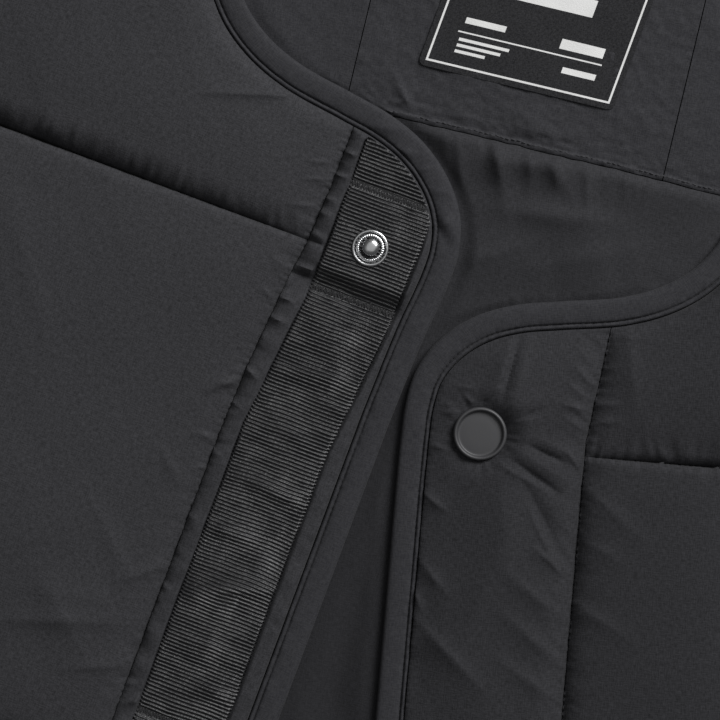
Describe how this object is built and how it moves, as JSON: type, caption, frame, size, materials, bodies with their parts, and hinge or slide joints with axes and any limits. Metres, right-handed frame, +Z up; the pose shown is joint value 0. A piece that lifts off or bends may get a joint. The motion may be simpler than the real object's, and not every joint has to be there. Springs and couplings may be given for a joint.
{
  "type": "gilet",
  "caption": "Quilted sleeveless jacket with a bound round neck and a snap front, laid flat on its back with both fronts swung open",
  "frame": {"origin": "middle of the underside, on the surface that the garment lies on", "axes": "+Y to the neck, +X to the wearer's left front, +Z up off the surface"},
  "size_m": [0.552, 0.7224, 0.0159],
  "materials": {
    "shell": "matte black plain-woven nylon over wadding",
    "binding": "smooth black nylon folded and edge stitched",
    "lining": "matte black taffeta lining",
    "yoke": "matte black nylon facing",
    "tape": "ribbed black grosgrain tape",
    "label": "black woven label with white yarn lines",
    "stud_metal": "nickel-plated pressed brass",
    "cap": "matte black lacquered pressed metal"
  },
  "bodies": {
    "root": {"back_panel": "shell", "right_front_panel": "shell", "left_front_panel": "shell", "right_placket": "shell", "left_placket": "shell", "right_front_binding": "binding", "left_front_binding": "binding", "back_neck_binding": "binding", "right_armhole_front_binding": "binding", "right_armhole_back_binding": "binding", "left_armhole_front_binding": "binding", "left_armhole_back_binding": "binding", "back_lining": "lining", "yoke_centre": "yoke", "yoke_right": "yoke", "yoke_left": "yoke", "snap_tape": "tape", "neck_label": "label", "stud_1": "stud_metal", "stud_back_1": "stud_metal", "cap_1": "cap", "socket_1": "stud_metal", "stud_2": "stud_metal", "stud_back_2": "stud_metal", "cap_2": "cap", "socket_2": "stud_metal", "stud_3": "stud_metal", "stud_back_3": "stud_metal", "cap_3": "cap", "socket_3": "stud_metal", "stud_4": "stud_metal", "stud_back_4": "stud_metal", "cap_4": "cap", "socket_4": "stud_metal"}
  },
  "joints": []
}
